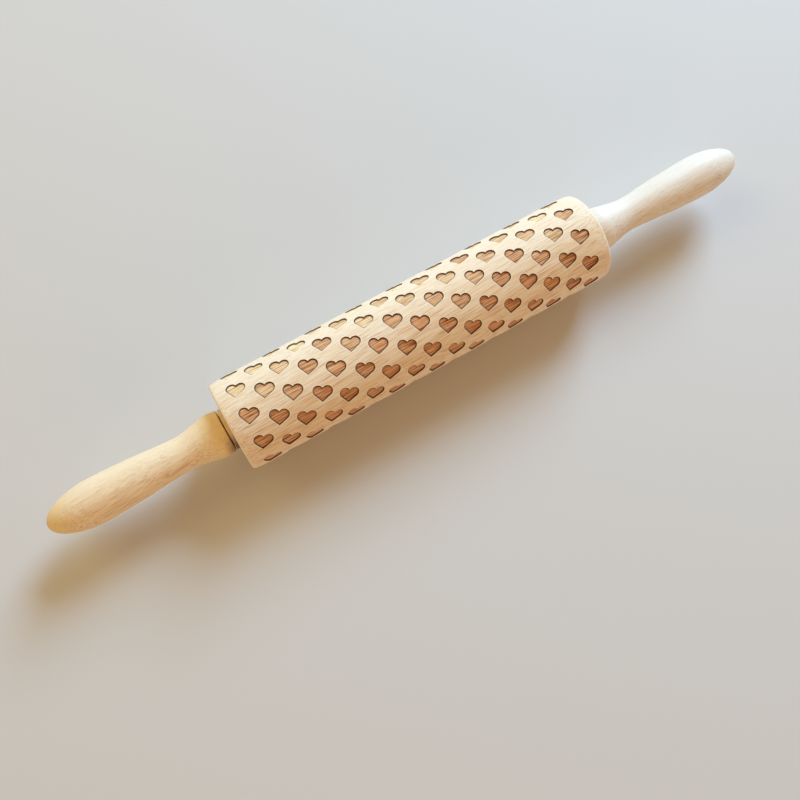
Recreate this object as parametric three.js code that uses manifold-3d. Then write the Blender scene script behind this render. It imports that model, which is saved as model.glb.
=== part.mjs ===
// Embossed rolling pin. A wooden roller with rows of heart-shaped pockets turns on a steel rod,
// and the rod's threaded ends hold two turned wooden handles.
// Units are millimetres. X runs along the rod towards the right handle and Z is up.
// The origin is on the table, under the middle of the roller.
import * as THREE from 'three';
import { mergeVertices } from 'three/addons/utils/BufferGeometryUtils.js';
import Module from 'manifold-3d';

// Roller: the length between its end faces, the distance across opposite facets, the worn arris
// at each end, and the soft relief that sanding leaves next to it.
const rollerLength = 226;
const rollerDiameter = 51.4;
const rollerArris = 0.9;
const endReliefLength = 9;
const endReliefDepth = 0.8;
const rollerFacets = 40;

// Heart pockets: rows run along the roller, and every second row is shifted. The first heart of
// a row is set in from the roller's end, and the rows are turned a little from the top.
const heartPitch = 25.07;
const rowPitch = 8.1;
const firstHeartInset = 11.8;
const rowShift = 13;
const pocketDepth = 0.7;
const rowTurnDegrees = 6.5;

// One heart: two round lobes, and two straight sides that run from the lobes to a point. Its
// cleft is the dip between the lobes, and it leans from the line round the roller.
const heartWidth = 10.6;
const heartHeight = 8.75;
const cleftDepth = 1.35;
const heartLeanDegrees = 25.3;
const lobeSteps = 4;

// Steel rod: a plain middle, and threaded ends that are drawn at the thread's mean depth.
const rodDiameter = 8;
const threadDepth = 0.2;
const rodChamfer = 0.8;
const rodReachPastInsert = 2;
const rodBoreRoom = 0.7;

// Flanged plastic bush, thrust washer, lock nut and threaded insert, one of each at both ends.
const bushWall = 3.4;
const bushLength = 18;
const flangeDiameter = 23.4;
const flangeThickness = 2.4;
const washerDiameter = 16;
const washerBoreRoom = 0.2;
const washerThickness = 1.6;
const nutAcrossFlats = 13;
const nutThickness = 4;
const insertWall = 2.05;
const insertLength = 20;
const insertChamfer = 0.7;

// Turned handle: distances along it start at the collar's face, and the radii are those of the
// collar's edge, the collar's crown, the neck and the swell of the grip.
const handleLength = 102;
const collarEdgeRadius = 12;
const collarRounding = 0.7;
const crownPlace = 6.8;
const crownRadius = 12.55;
const neckPlace = 26;
const neckRadius = 9.5;
const swellPlace = 73.9;
const swellRadius = 12.3;
const recessRoom = 0.7;
const rodEndSpace = 2;

// Clearances between pieces, and the overrun of cutting tools past a surface.
const runningClearance = 0.1;
const seatClearance = 0.15;
const axialPlay = 0.3;
const collarGap = 0.6;
const cutOverrun = 1;

// Facets and steps of the turned shapes.
const handleFacets = 28;
const smallFacets = 24;
const roundingSteps = 2;
const gripSteps = 12;
const noseSteps = 6;

// The relief's curve at the roller's ends: shares of its length at which its facets meet.
const reliefShares = [1, 0.7, 0.4];

// The grip's curve between its named places: shares of the way along, and of the change in
// radius, first from the crown to the neck and then from the neck to the swell.
const shoulderShares = [[0.24, 0.32], [0.43, 0.53], [0.67, 0.84]];
const swellShares = [[0.2, 0.19], [0.42, 0.53], [0.67, 0.8]];

// Places along the rod, outward from the roller's end face.
const collarFace = flangeThickness + collarGap;
const washerStart = flangeThickness + axialPlay;
const nutStart = washerStart + washerThickness;
const insertStart = nutStart + nutThickness;
const insertEnd = insertStart + insertLength;
const rodEnd = insertEnd + rodReachPastInsert;

// Places inside the handle, from the collar's face.
const recessDepth = insertStart - collarFace;
const insertSeatDepth = insertEnd - collarFace;
const rodHoleDepth = rodEnd + rodEndSpace - collarFace;

// Radii that follow from the sizes above.
const rollerRadius = rollerDiameter / 2;
const rodRadius = rodDiameter / 2;
const rodBoreRadius = rodRadius + rodBoreRoom;
const threadRadius = rodRadius - threadDepth;
const threadBoreRadius = threadRadius + seatClearance;
const insertRadius = threadBoreRadius + insertWall;
const bushBoreRadius = rodRadius + runningClearance;
const bushRadius = bushBoreRadius + bushWall;
const nutCornerRadius = nutAcrossFlats / 2 / Math.cos(Math.PI / 6);
const recessRadius = Math.max(washerDiameter / 2, nutCornerRadius) + recessRoom;

const wasm = await Module();
wasm.setup();

const materials = {
  beech: { color: 0xf0d3a8, roughness: 0.6, metalness: 0 },
  nylon: { color: 0xd8c3a0, roughness: 0.45, metalness: 0 },
  steel: { color: 0xb9bcc0, roughness: 0.3, metalness: 1 },
  zinc: { color: 0xc9cbc6, roughness: 0.4, metalness: 1 },
  brass: { color: 0xc9a24e, roughness: 0.35, metalness: 1 },
};

function namedMesh(name, geometry, look) {
  const mesh = new THREE.Mesh(geometry, new THREE.MeshStandardMaterial(materials[look]));
  mesh.name = name;
  return mesh;
}

// A body turned about the X axis. Each point is [distance along X, radius], and the outside runs
// towards larger X. The facets are set so that one of them faces straight up and one straight
// down.
function turned(points, facets) {
  const profile = points.map(([along, radius]) => new THREE.Vector2(radius, along));
  const geometry = new THREE.LatheGeometry(profile, facets, Math.PI / facets);
  geometry.rotateZ(-Math.PI / 2);
  return geometry;
}

// Points on a quarter of an ellipse, from its start angle to its end angle in degrees.
function ellipsePoints(centre, size, startDegrees, endDegrees, steps) {
  const points = [];
  for (let step = 0; step <= steps; step += 1) {
    const degrees = THREE.MathUtils.lerp(startDegrees, endDegrees, step / steps);
    const angle = THREE.MathUtils.degToRad(degrees);
    points.push([centre.x + size.x * Math.cos(angle), centre.y + size.y * Math.sin(angle)]);
  }
  return points;
}

// Closed solids for the cuts, and the way back from a cut solid to a geometry.
function solidFrom(geometry) {
  const bare = geometry.clone();
  bare.deleteAttribute('normal');
  bare.deleteAttribute('uv');
  const merged = mergeVertices(bare);
  return new wasm.Manifold(new wasm.Mesh({
    numProp: 3,
    vertProperties: new Float32Array(merged.attributes.position.array),
    triVerts: new Uint32Array(merged.index.array),
  }));
}

function geometryFrom(solid) {
  const mesh = solid.getMesh();
  const geometry = new THREE.BufferGeometry();
  geometry.setAttribute('position', new THREE.BufferAttribute(mesh.vertProperties, mesh.numProp));
  geometry.setIndex(new THREE.BufferAttribute(mesh.triVerts, 1));
  geometry.computeVertexNormals();
  return geometry;
}

// The heart's outline, with the middle of its area at zero and its point downwards. The lobes
// are arcs whose radius gives the heart its width and its cleft, and each side touches its lobe
// where it leaves it.
function heartOutline() {
  const lobeRadius = heartWidth / 2 + cleftDepth - Math.sqrt(heartWidth * cleftDepth);
  const lobeOffset = heartWidth / 2 - lobeRadius;
  const pointDrop = heartHeight - lobeRadius;
  const reach = Math.hypot(lobeOffset, pointDrop);
  const sideAngle = Math.atan2(lobeOffset, pointDrop) + Math.asin(lobeRadius / reach);
  const cleftAngle = Math.PI - Math.acos(lobeOffset / lobeRadius);
  const points = [new THREE.Vector2(0, -pointDrop)];
  for (let step = 0; step <= lobeSteps; step += 1) {
    const angle = THREE.MathUtils.lerp(-sideAngle, cleftAngle, step / lobeSteps);
    points.push(new THREE.Vector2(
      lobeOffset + lobeRadius * Math.cos(angle),
      lobeRadius * Math.sin(angle),
    ));
  }
  for (let step = lobeSteps - 1; step >= 0; step -= 1) {
    const right = points[step + 1];
    points.push(new THREE.Vector2(-right.x, right.y));
  }
  const middle = areaMiddle(points);
  return points.map((point) => point.clone().sub(middle));
}

// The middle of a polygon's area.
function areaMiddle(points) {
  const middle = new THREE.Vector2();
  let doubleArea = 0;
  points.forEach((point, index) => {
    const next = points[(index + 1) % points.length];
    const cross = point.cross(next);
    doubleArea += cross;
    middle.add(point.clone().add(next).multiplyScalar(cross / 3));
  });
  return middle.divideScalar(doubleArea);
}

// A heart-shaped cutter that stands on the floor of its pocket. The turn is measured from the
// top of the roller towards the front.
function heartCutter(outline, along, turn) {
  const origin = new THREE.Vector2();
  const lean = THREE.MathUtils.degToRad(heartLeanDegrees);
  const shape = new THREE.Shape(outline.map((point) => point.clone().rotateAround(origin, -lean)));
  const depth = pocketDepth + cutOverrun;
  const geometry = new THREE.ExtrudeGeometry(shape, { depth, bevelEnabled: false });
  geometry.translate(0, 0, rollerRadius - pocketDepth);
  geometry.rotateX(turn);
  geometry.translate(along, 0, 0);
  return geometry;
}

// Full and shifted rows take turns round the roller, so that their number is even. A row holds
// as many hearts as keep clear of both ends.
function heartCutters() {
  const outline = heartOutline();
  const rows = 2 * Math.round((Math.PI * rollerRadius) / rowPitch);
  const cutters = [];
  for (let row = 0; row < rows; row += 1) {
    const inset = firstHeartInset + (row % 2) * rowShift;
    const hearts = 1 + Math.floor((rollerLength - firstHeartInset - inset) / heartPitch);
    const turn = THREE.MathUtils.degToRad(rowTurnDegrees) + (row * 2 * Math.PI) / rows;
    for (let place = 0; place < hearts; place += 1) {
      const along = inset + place * heartPitch - rollerLength / 2;
      cutters.push(solidFrom(heartCutter(outline, along, turn)));
    }
  }
  return wasm.Manifold.union(cutters);
}

// How far the relief lowers the roller's surface at a distance in from its end.
function reliefDrop(inset) {
  return endReliefDepth * (1 - inset / endReliefLength) ** 2;
}

// The roller, bored right through, with a seat for a bush in each end. Its facets touch the
// round surface that they stand for, so that the height across them is the true diameter.
function roller() {
  const outer = rollerRadius / Math.cos(Math.PI / rollerFacets);
  const end = rollerLength / 2;
  const insets = [...reliefShares.map((share) => share * endReliefLength), rollerArris];
  const rim = insets.map((inset) => [end - inset, outer - reliefDrop(inset)]);
  rim.push([end, outer - endReliefDepth - rollerArris]);
  const leftRim = rim.map(([along, radius]) => [-along, radius]).reverse();
  const seat = bushRadius + seatClearance;
  const seatEnd = end - bushLength;
  const blank = turned([
    [-end, seat],
    ...leftRim,
    ...rim,
    [end, seat],
    [seatEnd, seat],
    [seatEnd, rodBoreRadius],
    [-seatEnd, rodBoreRadius],
    [-seatEnd, seat],
    [-end, seat],
  ], rollerFacets);
  return geometryFrom(solidFrom(blank).subtract(heartCutters()));
}

// The rod, plain where the bushes run on it, with a threaded length at each end.
function axleRod() {
  const end = rollerLength / 2 + rodEnd;
  const threadStart = rollerLength / 2 + nutStart;
  return turned([
    [-end, 0],
    [-end, threadRadius - rodChamfer],
    [-end + rodChamfer, threadRadius],
    [-threadStart, threadRadius],
    [-threadStart, rodRadius],
    [threadStart, rodRadius],
    [threadStart, threadRadius],
    [end - rodChamfer, threadRadius],
    [end, threadRadius - rodChamfer],
    [end, 0],
  ], smallFacets);
}

// A bush, pressed into the roller up to its flange. Zero along X is the roller's end face.
function bush() {
  const start = seatClearance - bushLength;
  return turned([
    [start, bushBoreRadius],
    [start, bushRadius],
    [0, bushRadius],
    [0, flangeDiameter / 2],
    [flangeThickness, flangeDiameter / 2],
    [flangeThickness, bushBoreRadius],
    [start, bushBoreRadius],
  ], smallFacets);
}

// The washer that the bush's flange runs against.
function thrustWasher() {
  const bore = rodRadius + washerBoreRoom;
  return turned([
    [0, bore],
    [0, washerDiameter / 2],
    [washerThickness, washerDiameter / 2],
    [washerThickness, bore],
    [0, bore],
  ], smallFacets);
}

// Corners of a regular polygon round zero.
function polygon(radius, corners) {
  const points = [];
  for (let corner = 0; corner < corners; corner += 1) {
    const angle = (corner * 2 * Math.PI) / corners;
    points.push(new THREE.Vector2(radius * Math.cos(angle), radius * Math.sin(angle)));
  }
  return points;
}

// A six-sided nut, which the handle's insert is screwed up against.
function lockNut() {
  const shape = new THREE.Shape(polygon(nutCornerRadius, 6));
  shape.holes.push(new THREE.Path(polygon(threadBoreRadius, smallFacets)));
  const geometry = new THREE.ExtrudeGeometry(shape, { depth: nutThickness, bevelEnabled: false });
  geometry.rotateY(Math.PI / 2);
  return geometry;
}

// The sleeve that gives the wooden handle its thread.
function threadedInsert() {
  return turned([
    [0, threadBoreRadius],
    [0, insertRadius - insertChamfer],
    [insertChamfer, insertRadius],
    [insertLength - insertChamfer, insertRadius],
    [insertLength, insertRadius - insertChamfer],
    [insertLength, threadBoreRadius],
    [0, threadBoreRadius],
  ], smallFacets);
}

// The grip between the crown of the collar and the fattest place of the swell.
function gripPoints() {
  const edge = new THREE.Vector2(collarRounding, collarEdgeRadius);
  const crown = new THREE.Vector2(crownPlace, crownRadius);
  const neck = new THREE.Vector2(neckPlace, neckRadius);
  const swell = new THREE.Vector2(swellPlace, swellRadius);
  const between = (from, to, [along, change]) => new THREE.Vector2(
    THREE.MathUtils.lerp(from.x, to.x, along),
    THREE.MathUtils.lerp(from.y, to.y, change),
  );
  const curve = new THREE.SplineCurve([
    edge,
    crown,
    ...shoulderShares.map((shares) => between(crown, neck, shares)),
    neck,
    ...swellShares.map((shares) => between(neck, swell, shares)),
    swell,
  ]);
  return curve.getSpacedPoints(gripSteps).map((point) => [point.x, point.y]);
}

// The handle, from the collar to the round butt, with a recess for the washer and the nut, a
// seat for the threaded insert and a blind hole for the rod's end.
function handle() {
  const insertSeat = insertRadius + seatClearance;
  const rimCentre = new THREE.Vector2(collarRounding, collarEdgeRadius - collarRounding);
  const rimSize = new THREE.Vector2(collarRounding, collarRounding);
  const rim = ellipsePoints(rimCentre, rimSize, 180, 90, roundingSteps);
  const noseCentre = new THREE.Vector2(swellPlace, 0);
  const noseSize = new THREE.Vector2(handleLength - swellPlace, swellRadius);
  const nose = ellipsePoints(noseCentre, noseSize, 90, 0, noseSteps);
  nose[noseSteps] = [handleLength, 0];
  return turned([
    [rodHoleDepth, 0],
    [rodHoleDepth, rodBoreRadius],
    [insertSeatDepth, rodBoreRadius],
    [insertSeatDepth, insertSeat],
    [recessDepth, insertSeat],
    [recessDepth, recessRadius],
    [0, recessRadius],
    ...rim,
    ...gripPoints().slice(1),
    ...nose.slice(1),
  ], handleFacets);
}

// The pieces of one end, measured outward from the roller's end face.
function endPieces(side) {
  const pieces = [
    [`${side}_bush`, bush(), 'nylon', 0],
    [`${side}_thrust_washer`, thrustWasher(), 'zinc', washerStart],
    [`${side}_lock_nut`, lockNut(), 'zinc', nutStart],
    [`${side}_threaded_insert`, threadedInsert(), 'brass', insertStart],
    [`${side}_handle`, handle(), 'beech', collarFace],
  ];
  const end = new THREE.Group();
  for (const [name, geometry, look, along] of pieces) {
    const mesh = namedMesh(name, geometry, look);
    mesh.position.x = rollerLength / 2 + along;
    end.add(mesh);
  }
  return end;
}

const rollingPin = new THREE.Group();
rollingPin.add(namedMesh('roller', roller(), 'beech'));
rollingPin.add(namedMesh('axle_rod', axleRod(), 'steel'));
rollingPin.add(endPieces('right'));
const leftEnd = endPieces('left');
leftEnd.rotation.z = Math.PI;
rollingPin.add(leftEnd);
rollingPin.position.z = rollerRadius;

export default rollingPin;
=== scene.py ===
# %% [markdown]
# # Embossed rolling pin
# A wooden roller, engraved all over with small hearts, turns on a steel rod between two turned
# handles. The CAD model is loaded first and fixes every size and place. Blender adds what a CAD
# solid is too coarse for: round skins, crisp pockets, and the look of beech, scorch and metal.
# Sizes are written in millimetres, as in the CAD, and the scene is in metres, in the frame that
# the CAD gives: X along the rod, Z up, table at zero.

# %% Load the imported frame
import math

import bpy
import numpy as np
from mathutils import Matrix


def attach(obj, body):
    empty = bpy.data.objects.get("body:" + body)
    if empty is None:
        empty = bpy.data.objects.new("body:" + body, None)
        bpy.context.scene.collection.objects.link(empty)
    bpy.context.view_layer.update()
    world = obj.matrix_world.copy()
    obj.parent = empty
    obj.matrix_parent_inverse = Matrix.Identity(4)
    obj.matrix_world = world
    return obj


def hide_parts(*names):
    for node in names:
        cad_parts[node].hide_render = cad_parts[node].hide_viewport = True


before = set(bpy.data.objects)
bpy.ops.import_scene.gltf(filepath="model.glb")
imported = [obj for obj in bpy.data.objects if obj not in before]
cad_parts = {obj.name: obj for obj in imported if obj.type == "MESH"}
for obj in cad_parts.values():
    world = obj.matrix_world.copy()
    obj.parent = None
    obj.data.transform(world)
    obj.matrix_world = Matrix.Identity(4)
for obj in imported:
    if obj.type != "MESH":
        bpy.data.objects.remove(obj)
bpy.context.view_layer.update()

MM = 0.001
print("CAD nodes:", sorted(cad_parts))

# %% [markdown]
# ## Camera
# The pin was seen from above, a little in front of it and to the left of its middle. A camera's
# place can be judged by eye or worked out: here it was fitted to the hearts' known lattice, which
# gives the perspective along the roller as well. The lens is given for a square frame.

# %% Camera
CAMERA_PLACE = (-98.1, -80.9, 484.4)
CAMERA_TURN_DEGREES = (9.731, -4.599, -29.860)
CAMERA_LENS = 38.68
CAMERA_SENSOR = 36.0

lens = bpy.data.cameras.new("camera")
lens.lens = CAMERA_LENS
lens.sensor_width = CAMERA_SENSOR
camera = bpy.data.objects.new("camera", lens)
camera.location = [place * MM for place in CAMERA_PLACE]
camera.rotation_euler = [math.radians(turn) for turn in CAMERA_TURN_DEGREES]
bpy.context.scene.collection.objects.link(camera)
bpy.context.scene.camera = camera
print("camera height in mm:", CAMERA_PLACE[2])

# %% [markdown]
# ## Colours
# A colour is easiest to name as it looks on a screen, with numbers up to 255, but shaders count
# light. The sRGB curve turns the one into the other.

# %% Colour helper
SRGB_STEPS = 255
SRGB_TOE, SRGB_TOE_SLOPE = 0.04045, 12.92
SRGB_LIFT, SRGB_POWER = 0.055, 2.4


def colour(red, green, blue):
    """Screen colour to light: each channel is scaled to one, lifted, and raised to a power, or
    only divided where it is very dark."""
    screen = np.array([red, green, blue]) / SRGB_STEPS
    curve = ((screen + SRGB_LIFT) / (1 + SRGB_LIFT)) ** SRGB_POWER
    light = np.where(screen > SRGB_TOE, curve, screen / SRGB_TOE_SLOPE)
    return (*(float(channel) for channel in light), 1.0)


PALE_BEECH = colour(251, 237, 214)
print("pale beech as light:", [round(channel, 2) for channel in PALE_BEECH[:3]])

# %% [markdown]
# ## Shader helpers
# A material is a tree of nodes. Adding each one by hand takes many lines, so small helpers add a
# node, do a sum, blend two colours, or make a soft step from one value to another. A part of a
# tree that several materials need goes into a group, which is one node with its own inputs.

# %% Node helpers
def fill_inputs(tree, node, inputs):
    """Fills a node's inputs, by name or number, each with a value or a link from a socket."""
    for name, value in inputs.items():
        if isinstance(value, bpy.types.NodeSocket):
            tree.links.new(value, node.inputs[name])
        else:
            node.inputs[name].default_value = value


def add_node(tree, kind, inputs=None, **settings):
    """Adds one node with its settings and fills its inputs."""
    made = tree.nodes.new("ShaderNode" + kind)
    for name, value in settings.items():
        setattr(made, name, value)
    fill_inputs(tree, made, inputs or {})
    return made


def maths(tree, operation, *values):
    """One Math node, such as ADD or MULTIPLY."""
    return add_node(tree, "Math", dict(enumerate(values)), operation=operation).outputs[0]


def vector_maths(tree, operation, *values):
    """One Vector Math node. A length or a dot product is a number, other results are vectors."""
    made = add_node(tree, "VectorMath", dict(enumerate(values)), operation=operation)
    return made.outputs["Value" if operation in ("LENGTH", "DOT_PRODUCT") else "Vector"]


print("node helpers ready")

# %% Blends, steps and noise
NOISE_ROUGHNESS = 0.55


def blended(tree, share, first, second, kind="MIX"):
    """Two colours blended by a share: inputs 6 and 7 of a Mix node, and its output 2."""
    inputs = {0: share, 6: first, 7: second}
    return add_node(tree, "Mix", inputs, data_type="RGBA", blend_type=kind).outputs[2]


def tinted(tree, base, tint, share, most, kind="MIX"):
    """A base colour with a tint on it: as much as most, where the share is one."""
    return blended(tree, maths(tree, "MULTIPLY", share, most), base, tint, kind)


def soft_step(tree, value, low, high):
    """Rises smoothly from 0 where value is low to 1 where it is high."""
    inputs = {0: value, 1: low, 2: high, 3: 0.0, 4: 1.0}
    return add_node(tree, "MapRange", inputs, interpolation_type="SMOOTHSTEP").outputs[0]


def soft_drop(tree, value, low, high):
    """Falls smoothly from 1 where value is low to 0 where it is high."""
    return maths(tree, "SUBTRACT", 1.0, soft_step(tree, value, low, high))


def drawn_noise(tree, place, along, across, detail, seed):
    """Noise drawn out along X, as grain is. Along and across are its sizes in millimetres,
    detail is how finely it is broken up, and the seed sets it apart from other noises."""
    stretch = (1 / along, 1 / across, 1 / across)
    stretched = vector_maths(tree, "MULTIPLY_ADD", place, stretch, (seed, seed, seed))
    inputs = {"Vector": stretched, "Scale": 1.0, "Detail": detail, "Roughness": NOISE_ROUGHNESS}
    return add_node(tree, "TexNoise", inputs).outputs[0]


print("blends, steps and noise ready")

# %% Group and material helpers
def new_group(name, inputs, outputs):
    """A shader node group with named sockets, each given as (name, kind, value). Returns its
    tree, the sockets that carry what is given to it, and the node that takes its results."""
    tree = bpy.data.node_groups.new(name, "ShaderNodeTree")
    for sockets, direction in ((inputs, "INPUT"), (outputs, "OUTPUT")):
        for label, kind, value in sockets:
            socket = tree.interface.new_socket(
                label, in_out=direction, socket_type="NodeSocket" + kind
            )
            if value is not None:
                socket.default_value = value
    return tree, tree.nodes.new("NodeGroupInput").outputs, tree.nodes.new("NodeGroupOutput")


def place_group(tree, group, inputs):
    """Puts a group into a material, with its own values, and returns what it gives."""
    return add_node(tree, "Group", node_tree=group, inputs=inputs).outputs


def new_material(name):
    """A material with its Principled shader. Returns both and the tree."""
    material = bpy.data.materials.new(name)
    material.use_nodes = True
    tree = material.node_tree
    return material, tree, tree.nodes["Principled BSDF"]


print("group and material helpers ready")

# %% [markdown]
# ## Floor and light
# The pin lies on a pale floor under a wide cool lamp behind it and to the right, and the room
# fills its shadows with warm light: a weak lamp from behind left, a weaker one low in front,
# and the world's own even glow. A sun would give hard shadows, and near lamps would leave a
# bright patch on the floor, so the lamps are wide and stand well away. The levels are plain:
# a colour that faces the key comes out about as it is written. Far from the pin the floor
# fades into the backdrop, for the camera alone, so that a low view shows no horizon.

# %% Floor
FLOOR_SIZE = 6.0
FLOOR_ROUGHNESS, FLOOR_SPECULAR = 0.7, 0.25
FLOOR_COLOUR = colour(217, 217, 219)
BACKDROP_COLOUR = colour(226, 226, 228)
FADE_START, FADE_END = 0.4, 1.1


def straight_ray(tree):
    """One for a ray from the camera, a mirroring surface or glass, and zero for other light."""
    rays = add_node(tree, "LightPath").outputs
    seen = maths(tree, "MAXIMUM", rays["Is Camera Ray"], rays["Is Glossy Ray"])
    return maths(tree, "MAXIMUM", seen, rays["Is Transmission Ray"])


bpy.ops.mesh.primitive_plane_add(size=FLOOR_SIZE)
floor = bpy.context.object
floor.name = "floor"
floor_material, floor_tree, floor_shader = new_material("pale_floor")
fill_inputs(floor_tree, floor_shader, {
    "Base Color": FLOOR_COLOUR,
    "Roughness": FLOOR_ROUGHNESS,
    "Specular IOR Level": FLOOR_SPECULAR,
})
far = vector_maths(floor_tree, "LENGTH", add_node(floor_tree, "TexCoord").outputs["Object"])
fade = soft_step(floor_tree, far, FADE_START, FADE_END)
fade = maths(floor_tree, "MULTIPLY", fade, straight_ray(floor_tree))
glow = add_node(floor_tree, "Emission", {"Color": BACKDROP_COLOUR}).outputs[0]
inputs = {0: fade, 1: floor_shader.outputs[0], 2: glow}
faded = add_node(floor_tree, "MixShader", inputs).outputs[0]
fill_inputs(floor_tree, floor_tree.nodes["Material Output"], {"Surface": faded})
floor.data.materials.append(floor_material)
print("floor side in metres:", FLOOR_SIZE)

# %% Lamps
# Each lamp: its turn and height in degrees, its side in metres, its watts and its colour.
LAMP_DISTANCE = 2.4
KEY = (40.0, 31.0, 1.0, 71.0, (0.48, 0.75, 1.0))
WARM = (125.0, 42.0, 1.4, 11.0, (1.0, 0.88, 0.46))
FRONT = (258.0, 14.0, 1.4, 10.0, (1.0, 0.70, 0.42))


def add_lamp(name, from_degrees, height_degrees, size, watts, light):
    """A square lamp at a turn and a height seen from the pin, which it faces."""
    turn, height = math.radians(from_degrees), math.radians(height_degrees)
    data = bpy.data.lights.new(name, "AREA")
    data.size, data.energy, data.color = size, watts, light
    lamp = bpy.data.objects.new(name, data)
    level = LAMP_DISTANCE * math.cos(height)
    rise = LAMP_DISTANCE * math.sin(height)
    lamp.location = (level * math.cos(turn), level * math.sin(turn), rise)
    lamp.rotation_euler = lamp.location.to_track_quat("Z", "Y").to_euler()
    bpy.context.scene.collection.objects.link(lamp)
    print(name, "lamp at", [round(place, 2) for place in lamp.location])


add_lamp("key", *KEY)
add_lamp("warm", *WARM)
add_lamp("front", *FRONT)

# %% World
FILL_COLOUR = (1.0, 0.64, 0.31, 1.0)
FILL_STRENGTH = 0.44

world = bpy.data.worlds.new("room")
bpy.context.scene.world = world
world.use_nodes = True
room = world.node_tree
fill = add_node(room, "Background", {"Color": FILL_COLOUR, "Strength": FILL_STRENGTH})
backdrop = add_node(room, "Background", {"Color": BACKDROP_COLOUR, "Strength": 1.0})
rays = straight_ray(room)
mixed = add_node(room, "MixShader", {0: rays, 1: fill.outputs[0], 2: backdrop.outputs[0]})
fill_inputs(room, room.nodes["World Output"], {"Surface": mixed.outputs[0]})
bpy.context.scene.view_settings.view_transform = "Standard"
print("fill:", FILL_COLOUR[:3], "times", FILL_STRENGTH)

# %% [markdown]
# ## Skins worked out with numpy
# Every new piece here is a closed skin. It could be modelled with booleans and bevels, but a
# piece whose points come from a formula is exact and quick: grids of points are laid edge to
# edge, points that share a place are welded, and the sign of the enclosed volume tells whether
# the faces look outwards.

# %% Weld and close
WELD_STEP = 1e-6


def grid_quads(rows, columns, grids=1):
    """Quads between neighbours in closed rings of points, stored ring after ring, grid by grid."""
    number = np.arange(grids * rows * columns).reshape(grids, rows, columns)
    beside = np.roll(number, -1, axis=2)
    corners = (number[:, :-1], beside[:, :-1], beside[:, 1:], number[:, 1:])
    return np.stack(corners, axis=-1).reshape(-1, 4)


def weld(points, quads):
    """Merges points that share a place. A quad with two merged neighbours, as at a pole, is
    left as a triangle. Returns the numbers of the kept points, the quads and the triangles."""
    places = np.round(points / WELD_STEP).astype(np.int64)
    _, kept, merged = np.unique(places, axis=0, return_index=True, return_inverse=True)
    quads = merged.ravel()[quads]
    same = quads == np.roll(quads, -1, axis=1)
    pinched = same.sum(axis=1) == 1
    start = same[pinched].argmax(axis=1)[:, None]
    triangles = np.take_along_axis(quads[pinched], (start + [1, 2, 3]) % 4, axis=1)
    return kept, quads[~same.any(axis=1)], triangles


def enclosed(points, quads, triangles):
    """Volume inside a skin: the sum of the wedges between the origin and every triangle."""
    corners = np.concatenate([quads[:, [0, 1, 2]], quads[:, [0, 2, 3]], triangles])
    first, second, third = (points[corners[:, corner]] for corner in range(3))
    return float(np.einsum("ij,ij->", first, np.cross(second, third)) / 6)


def open_edges(quads, triangles):
    """How many edges don't have exactly two faces. A closed skin has none."""
    sides = [np.stack([face, np.roll(face, -1, axis=1)], -1) for face in (quads, triangles)]
    sides = np.sort(np.concatenate([side.reshape(-1, 2) for side in sides]), axis=1)
    _, uses = np.unique(sides, axis=0, return_counts=True)
    return int((uses != 2).sum())


# %% From points to a piece
CUBIC_CM = 1e-6
SHARP_DEGREES = 32.0


def add_piece(name, points, quads, body, slot, replaced, **measures):
    """Makes a closed piece from points in metres, lets it ride on a body and stand for CAD
    nodes. Measures are numbers at each point, which the materials read as attributes."""
    kept, quads, triangles = weld(points, quads)
    points = points[kept]
    volume = enclosed(points, quads, triangles)
    if volume < 0:
        quads, triangles = quads[:, ::-1], triangles[:, ::-1]
    mesh = bpy.data.meshes.new(name)
    mesh.from_pydata(points.tolist(), [], quads.tolist() + triangles.tolist())
    for label, values in measures.items():
        layer = mesh.attributes.new(label, "FLOAT", "POINT")
        layer.data.foreach_set("value", values[kept].astype(np.float32))
    mesh.shade_smooth()
    mesh.set_sharp_from_angle(angle=math.radians(SHARP_DEGREES))
    piece = bpy.data.objects.new(name, mesh)
    bpy.context.scene.collection.objects.link(piece)
    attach(piece, body)
    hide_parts(*replaced)
    faces = 2 * len(quads) + len(triangles)
    print(f"{name}: {faces} triangles, {abs(volume) / CUBIC_CM:.1f} cubic cm,"
          f" {open_edges(quads, triangles)} open edges")
    return piece


# %% [markdown]
# ## The heart
# On the real roller a laser or a cutter sinks each heart to an even depth. The outline could be
# one smooth formula, but this heart has two round lobes and two straight sides that touch them,
# so it is drawn like that. Its points are evenly spaced from the tip to the cleft, and mirrored.

# %% Heart outline
HEART_WIDTH = 10.6
HEART_HEIGHT = 8.75
CLEFT_DEPTH = 1.35
HEART_LEAN_DEGREES = 25.3
FINE_SAMPLES = 720


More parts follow.
